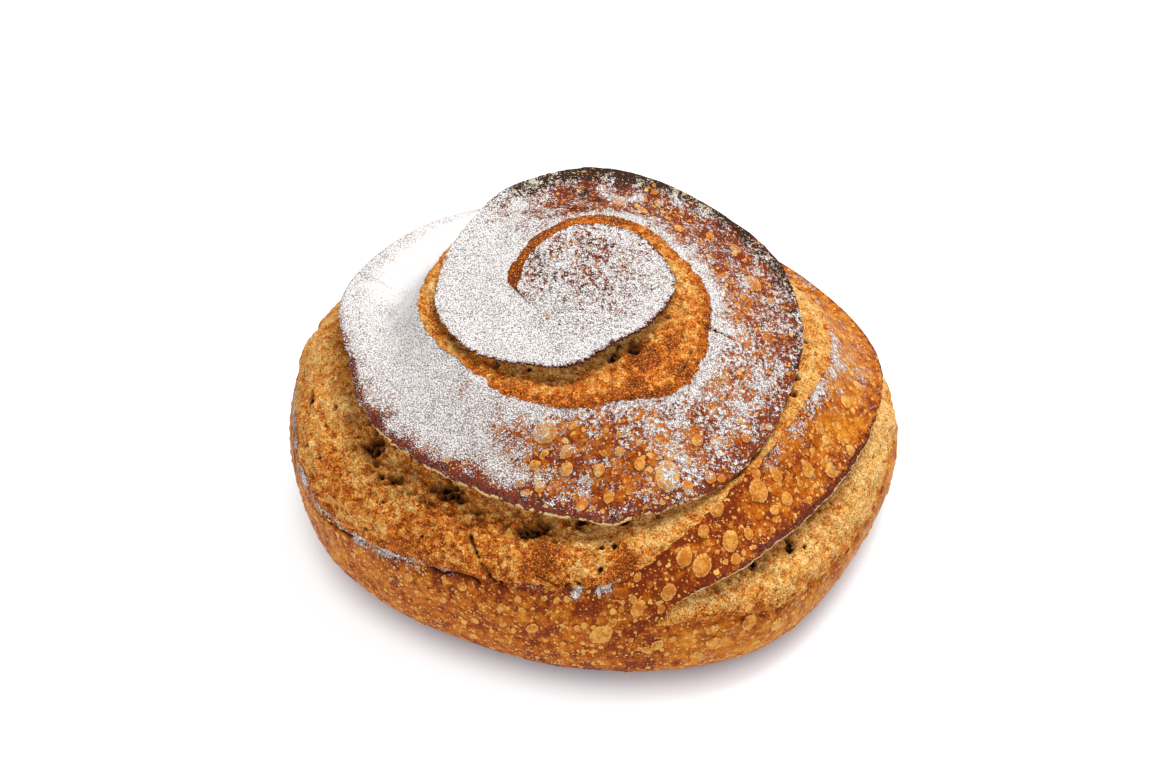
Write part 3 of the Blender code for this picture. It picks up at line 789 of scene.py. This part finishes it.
def piece_surface(first, last, columns, rows, end_rows):
    """The grid of points on one piece's outer side, with what its material needs to know."""
    ground = lay_out(first, last, columns, rows, end_rows)
    paint_skin(ground)
    tear_crumb(ground)
    sink_hollows(ground)
    raise_blisters(ground)
    rise = ground.relief * smooth_step(*FOOT_RELIEF, ground.above_table)
    for index, sink in enumerate(OVERLAP_SINK):
        if first >= 0:
            rise[index] -= sink
        rise[-1 - index] -= sink
    if first < 0:
        from_pole = np.linalg.norm(ground.place - ground.place[0, 0], axis=-1)
        rise = rise * smooth_step(0.0, POLE_REACH, from_pole)
    place = ground.place + ground.normal * rise[..., None]
    place[..., 2] = np.maximum(place[..., 2], 0.0)
    to_tip = ground.to_tip
    under = smooth_step(0.0, -0.8, to_tip) * (not ground.to_foot)
    cream, char, band = station_values(EDGE_STATIONS, ground.turn + 360)
    ear = smooth_step(*EAR_STARTS, ground.next_lift) * (not ground.to_foot)
    cream = cream * ear * smooth_step(*CREAM_BELOW, to_tip) * smooth_step(*CREAM_ABOVE, to_tip)
    # Charred band on the ear's edge, reaching under its tip as painted shade
    char = char * ear * smooth_step(*CHAR_AND_SHADE_BELOW, to_tip) * smooth_step(0.0, 0.7, (band - to_tip) / band)
    flour = ground.flour * (1 - ground.crumb) * (1 - under) * (1 - 0.9 * ground.hollow) - 0.26 * char
    clumpy = station_values(CLUMP_STATIONS, ground.turn)[0]
    # The ear's underside is crumb, with a little painted shade under the ear
    paint = {"crumb": np.maximum(ground.crumb, under), "flour": flour, "burn": ground.burn,
             "toast": ground.toast, "crest": 0.5 + 0.5 * ground.crest,
             "hollow": np.maximum(ground.hollow, under * 0.3), "blister": ground.blister,
             "edge": cream, "char": char, "clumpy": np.broadcast_to(clumpy, flour.shape)}
    return place, paint


def closed_grid(place, paint, to_foot):
    """Close the outer side with a plain inner one, so that each piece is a solid."""
    if to_foot:
        shares = np.linspace(1.0, 0.0, FOOT_ROWS + 1)[1:]
        ring = place[:, -1:, :]
        foot = ring * shares[None, :, None]
        foot[..., 2] = 0.0
        place = np.concatenate([place, foot], axis=1)
    kept = np.linspace(place.shape[1] - 1, 0, INNER_ROWS).round().astype(int)
    inner = INNER_MIDDLE + (place[:, kept] - INNER_MIDDLE) * INNER_SHARE
    closed = np.concatenate([place, inner, place[:, :1]], axis=1)
    added = closed.shape[1] - next(iter(paint.values())).shape[1]
    paint = {name: np.pad(values, ((0, 0), (0, added)), mode="edge")
             for name, values in paint.items()}
    return closed, paint


def add_object(name, data):
    """An object in the scene."""
    made = bpy.data.objects.new(name, data)
    bpy.context.scene.collection.objects.link(made)
    return made


def build_piece(name, first, last, columns, rows, end_rows):
    """One closed piece of the crust as an object that stands for the plain loaf."""
    place, paint = piece_surface(first, last, columns, rows, end_rows)
    place, paint = closed_grid(place, paint, first > FIRST_BASE_TURN)
    mesh = bmesh.new()
    x_count, y_count = place.shape[0] - 1, place.shape[1] - 1
    bmesh.ops.create_grid(mesh, x_segments=x_count, y_segments=y_count, size=0.5)
    data = bpy.data.meshes.new(name)
    mesh.to_mesh(data)
    flat = np.empty(len(data.vertices) * 3)
    data.vertices.foreach_get("co", flat)
    flat = flat.reshape(-1, 3)
    column = np.rint((flat[:, 0] + 0.5) * x_count).astype(int)
    row = np.rint((flat[:, 1] + 0.5) * y_count).astype(int)
    data.vertices.foreach_set("co", (place[column, row] * MM).ravel())
    for key, values in paint.items():
        layer = data.attributes.new(key, "FLOAT", "POINT")
        layer.data.foreach_set("value", np.clip(values[column, row], 0.0, MOST_PAINT))
    mesh.clear()
    mesh.from_mesh(data)
    bmesh.ops.remove_doubles(mesh, verts=mesh.verts, dist=MERGE_DISTANCE)
    bmesh.ops.dissolve_degenerate(mesh, edges=mesh.edges, dist=NO_LENGTH)
    edges = [edge for edge in mesh.edges if edge.is_boundary]
    bmesh.ops.contextual_create(mesh, geom=edges)
    bmesh.ops.recalc_face_normals(mesh, faces=mesh.faces)
    mesh.to_mesh(data)
    mesh.free()
    data.shade_smooth()
    piece = add_object(name, data)
    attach(piece, "root")
    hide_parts("country_loaf")
    return piece


def linear(tint):
    """A colour for the shader from its six-digit screen code."""
    parts = [int(tint[k:k + 2], 16) / 255 for k in (0, 2, 4)]
    parts = [part / 12.92 if part <= 0.04045 else ((part + 0.055) / 1.055) ** 2.4 for part in parts]
    return (*parts, 1.0)


class Field:
    """A value that varies over a surface, so that a material reads as plain arithmetic."""

    def __init__(self, tree, socket):
        self.tree = tree
        self.socket = socket

    def maths(self, operation, first, second):
        """A new value from two, either of which may be a plain number."""
        return add_node(self.tree, "ShaderNodeMath", {"operation": operation}, (first, second))

    def __add__(self, other):
        return self.maths("ADD", self, other)

    def __sub__(self, other):
        return self.maths("SUBTRACT", self, other)

    def __rsub__(self, other):
        return self.maths("SUBTRACT", other, self)

    def __mul__(self, other):
        return self.maths("MULTIPLY", self, other)

    __radd__ = __add__
    __rmul__ = __mul__

    def swing(self, amount):
        """Noise made to swing about nought instead of about a half."""
        return (self - 0.5) * amount

    def eased(self, low, high):
        """0 below low, 1 above high, and an even ease between them."""
        inputs = {"Value": self, "From Min": low, "From Max": high}
        return add_node(self.tree, "ShaderNodeMapRange", {"interpolation_type": "SMOOTHSTEP"}, inputs)


def add_node(tree, kind, settings, inputs, output=0):
    """Add a node with its settings and inputs, and give one of its outputs."""
    node = tree.nodes.new(kind)
    for key, value in settings.items():
        setattr(node, key, value)
    pairs = inputs.items() if isinstance(inputs, dict) else enumerate(inputs)
    for key, value in pairs:
        if isinstance(value, Field):
            tree.links.new(value.socket, node.inputs[key])
        else:
            node.inputs[key].default_value = value
    return Field(tree, node.outputs[output])


def blend(share, first, second):
    """Mix two colours, each a field or a six-digit screen code, by a varying share."""
    mixed = share.tree.nodes.new("ShaderNodeMix")
    mixed.data_type = "RGBA"
    for index, value in ((0, share), (6, first), (7, second)):
        socket = mixed.inputs[index]
        if isinstance(value, Field):
            share.tree.links.new(value.socket, socket)
        else:
            socket.default_value = linear(value)
    return Field(share.tree, mixed.outputs[2])


def toned(value, colour, tones):
    """A colour that passes through darker tones as a value rises."""
    for tone, begins, full in tones:
        colour = blend(value.eased(begins, full), colour, tone)
    return colour


def cells(where, size, feature, output="Distance"):
    """Random cells of a size in millimetres."""
    inputs = {"Vector": where, "Scale": 1 / (size * MM)}
    return add_node(where.tree, "ShaderNodeTexVoronoi", {"feature": feature}, inputs, output)


def channel(colour, index):
    """One channel of a colour."""
    return add_node(colour.tree, "ShaderNodeSeparateColor", {}, {0: colour}, index)


def crust_fields(tree):
    """What is painted on the crust, and the noise that its colours share."""
    place = add_node(tree, "ShaderNodeTexCoord", {}, {}, "Object")

    def grain(size, detail, roughness, output=0):
        inputs = {"Vector": place, "Scale": 1 / (size * MM), "Detail": detail, "Roughness": roughness}
        return add_node(tree, "ShaderNodeTexNoise", {}, inputs, output)

    push = {0: grain(*SWIRL_GRAIN, "Color"), 1: (SWIRL_REACH * MM,) * 3, 2: place}
    fields = {name: grain(*settings) for name, settings in GRAINS.items()}
    for name in PAINTED:
        fields[name] = add_node(tree, "ShaderNodeAttribute", {"attribute_name": name}, {}, "Fac")
    fields["swirl"] = add_node(tree, "ShaderNodeVectorMath", {"operation": "MULTIPLY_ADD"}, push)
    fields["swell"] = fields["blister"] + fields["fine"].swing(0.3) + fields["coarse"].swing(0.15)
    return SimpleNamespace(**fields)


def skin_colour(at):
    """Browned skin with small random flecks, and the swollen blisters over them."""
    dark = at.burn + at.mottle.swing(0.7) + at.coarse.swing(1.1) + at.fine.swing(0.8)
    skin = toned(dark, PALE_SKIN, SKIN_TONES)
    for size, most in FLECK_CELLS:
        seed = cells(at.swirl, size, "F1")
        random = cells(at.swirl, size, "F1", "Color")
        inside = (channel(random, 0) - 0.44) * most - seed - dark * 0.16 + 0.08
        tint = blend(channel(random, 1), *FLECK_TONES)
        skin = blend(inside.eased(-0.05, -0.01) * 0.6, skin, BLISTER_SHADE)
        skin = blend(inside.eased(-0.02, 0.02) * 0.9, skin, tint)
        rim = inside.eased(-0.02, 0.02) - inside.eased(0.02, 0.08)
        skin = blend(rim * 0.35, skin, FLECK_RIM)
    pale = at.coarse + at.fine.swing(0.6) - (at.burn - 0.4) * 0.3
    bubble = blend(pale.eased(0.32, 0.68), *BLISTER_TONES)
    skin = blend(at.swell.eased(0.36, 0.5) * 0.5, skin, BLISTER_SHADE)
    skin = blend(at.swell.eased(0.5, 0.6) * 0.9, skin, bubble)
    rim = (at.swell.eased(0.5, 0.6) - at.swell.eased(0.6, 0.76)) * at.fine.eased(0.4, 0.6)
    skin = blend(rim * 0.6, skin, BLISTER_RIM)
    # Painted shade where the skin is cracked, sunk or tucked under an ear
    return blend(at.hollow.eased(0.3, 0.6), skin, HOLLOW_SHADE_SKIN)


def crumb_colour(at, strand):
    """Torn crumb from cream to toasted, with strands, specks, glints, and painted highlight on crests
    and painted shade in dips and hollows.
    """
    # Crests paler and the dips between them darker: painted highlight and shade on top of the toast
    toasted = at.toast + at.coarse.swing(1.5) + at.fine.swing(1.3) + (0.5 - at.crest) * 1.4
    torn = toned(toasted, PALE_CRUMB, CRUMB_TONES)
    torn = blend(strand * 0.65, torn, STRAND_TONE)
    speck = blend(toasted.eased(0.2, 0.7), *SPECK_TONES)
    torn = blend(at.speck.eased(0.56, 0.63) * 0.85, torn, speck)
    glint = blend(toasted.eased(0.3, 0.9), *GLINT_TONES)
    torn = blend(at.glint.eased(0.56, 0.63) * 0.75, torn, glint)
    # Painted shade: pores, caves, sunken spots, cracks and the ear's underside darken the crumb
    cave = at.hollow + at.fine.swing(0.35)
    torn = blend(cave.eased(0.16, 0.56) * (1 - strand * 0.6), torn, HOLLOW_SHADE_TONES[0])
    return blend(cave.eased(0.55, 0.85), torn, HOLLOW_SHADE_TONES[1])


def flour_cover(at):
    """Where flour lies, and how much of it is clean white."""
    loose = (1.25 - at.flour) * at.flour.eased(0.0, 0.5)
    density = at.flour + (at.coarse.swing(0.6) + at.clump.swing(1.0) * at.clumpy * 3.4) * loose
    cover = (at.dust + density.swing(0.7)).eased(0.46, 0.54)
    clean = at.powder + density * 0.22 - 0.185 + at.flour.eased(0.95, 1.2) * 0.3
    return cover, clean.eased(0.42, 0.54)


def crust_material():
    """Baked crust, torn crumb and flour, mixed by what is painted on the surface."""
    material = bpy.data.materials.new("floury_crust")
    material.use_nodes = True
    tree = material.node_tree
    shader = tree.nodes["Principled BSDF"]
    at = crust_fields(tree)
    web = cells(at.swirl, WEB_SIZE, "DISTANCE_TO_EDGE") + at.coarse.swing(0.4) + at.toast * 0.16
    strand = web.eased(0.16, 0.02)
    torn = (at.crumb + at.fine.swing(0.5)).eased(0.35, 0.65)
    colour = blend(torn, skin_colour(at), crumb_colour(at, strand))
    # Char on the ears' edges, and painted shade just under their tips
    scorch_and_shade = at.char + at.fine.swing(1.5) + at.coarse.swing(1.5) + at.clump.swing(1.2)
    charred_and_shaded = blend(at.speck.eased(0.4, 0.56), *CHAR_AND_SHADE_TONES)
    colour = blend(scorch_and_shade.eased(0.4, 0.6) * 0.92, colour, charred_and_shaded)
    torn_edge = at.edge + at.fine.swing(1.0) + at.coarse.swing(2.2)
    colour = blend(torn_edge.eased(0.4, 0.6) * 0.9, colour, EDGE_TONE)
    cover, clean = flour_cover(at)
    white = blend(clean, *FLOUR_TONES)
    white = blend(at.burn.eased(1.14, 1.3) * 0.6, white, BURNT_FLOUR)
    colour = blend(cover * 0.97, colour, white)
    tree.links.new(colour.socket, shader.inputs["Base Color"])

    rough = 0.58 + at.crumb * 0.15 + cover * 0.27
    tree.links.new(rough.socket, shader.inputs["Roughness"])
    crumbly = (strand + at.glint * 0.4 - at.speck.eased(0.5, 0.7)) * at.crumb
    height = cover * (0.3 + at.powder * 0.9) + (1 - cover) * (at.fine * 0.4 + crumbly)
    height = height + at.swell.eased(0.36, 0.5) * 0.5
    inputs = {"Strength": BUMP_STRENGTH, "Distance": BUMP_DEPTH * MM, "Height": height}
    bump = add_node(tree, "ShaderNodeBump", {}, inputs)
    tree.links.new(bump.socket, shader.inputs["Normal"])
    shader.inputs["Specular IOR Level"].default_value = CRUST_SHINE
    return material


def white_table():
    """A wide white table top under the loaf that glows, with a painted shadow that dims it softly close
    under the loaf.
    """
    mesh = bmesh.new()
    bmesh.ops.create_grid(mesh, x_segments=1, y_segments=1, size=TABLE_HALF)
    data = bpy.data.meshes.new("table_top")
    mesh.to_mesh(data)
    mesh.free()
    white = bpy.data.materials.new("white_table")
    white.use_nodes = True
    tree = white.node_tree
    shader = tree.nodes["Principled BSDF"]
    shader.inputs["Base Color"].default_value = linear(TABLE_TINT)
    shader.inputs["Roughness"].default_value = TABLE_ROUGHNESS
    # Painted shadow: the table's emission dims where ambient occlusion finds the loaf close above
    open_sky = add_node(tree, "ShaderNodeAmbientOcclusion", {"samples": SHADE_SAMPLES},
                        {"Distance": SHADE_REACH}, "AO")
    painted_shadow_glow = blend(open_sky.eased(*SHADE_RANGE), *TABLE_SHADOW_GLOW_TONES)
    tree.links.new(painted_shadow_glow.socket, shader.inputs["Emission Color"])
    shader.inputs["Emission Strength"].default_value = TABLE_GLOW_STRENGTH
    data.materials.append(white)
    add_object("table_top", data)


def soft_light(name, place, size, power):
    """A square lamp with a soft edge that faces the loaf."""
    lamp = bpy.data.lights.new(name, "AREA")
    lamp.size = size
    lamp.energy = power
    holder = add_object(name, lamp)
    holder.location = place
    aim = Vector(LIGHT_TARGET) - Vector(place)
    holder.rotation_euler = aim.to_track_quat("-Z", "Y").to_euler()


def light_scene():
    """Bright even surroundings with one soft key from behind on the right."""
    world = bpy.data.worlds.new("pale_room")
    world.use_nodes = True
    background = world.node_tree.nodes["Background"]
    background.inputs["Color"].default_value = (1.0, 1.0, 1.0, 1.0)
    background.inputs["Strength"].default_value = ROOM_BRIGHTNESS
    bpy.context.scene.world = world
    for name, settings in LIGHTS.items():
        soft_light(name, *settings)
    bpy.context.scene.view_settings.view_transform = "Standard"


def set_camera():
    """Camera at the photograph's viewing angle."""
    lens = bpy.data.cameras.new("camera")
    lens.lens = CAMERA_LENS
    lens.sensor_width = CAMERA_SENSOR
    lens.clip_start, lens.clip_end = CAMERA_REACH
    camera = add_object("camera", lens)
    camera.location = CAMERA_PLACE
    camera.rotation_euler = (math.radians(CAMERA_TILT), 0.0, 0.0)
    bpy.context.scene.camera = camera


finish = crust_material()
for piece_name, layout in PIECES.items():
    build_piece(piece_name, *layout).data.materials.append(finish)
white_table()
light_scene()
set_camera()
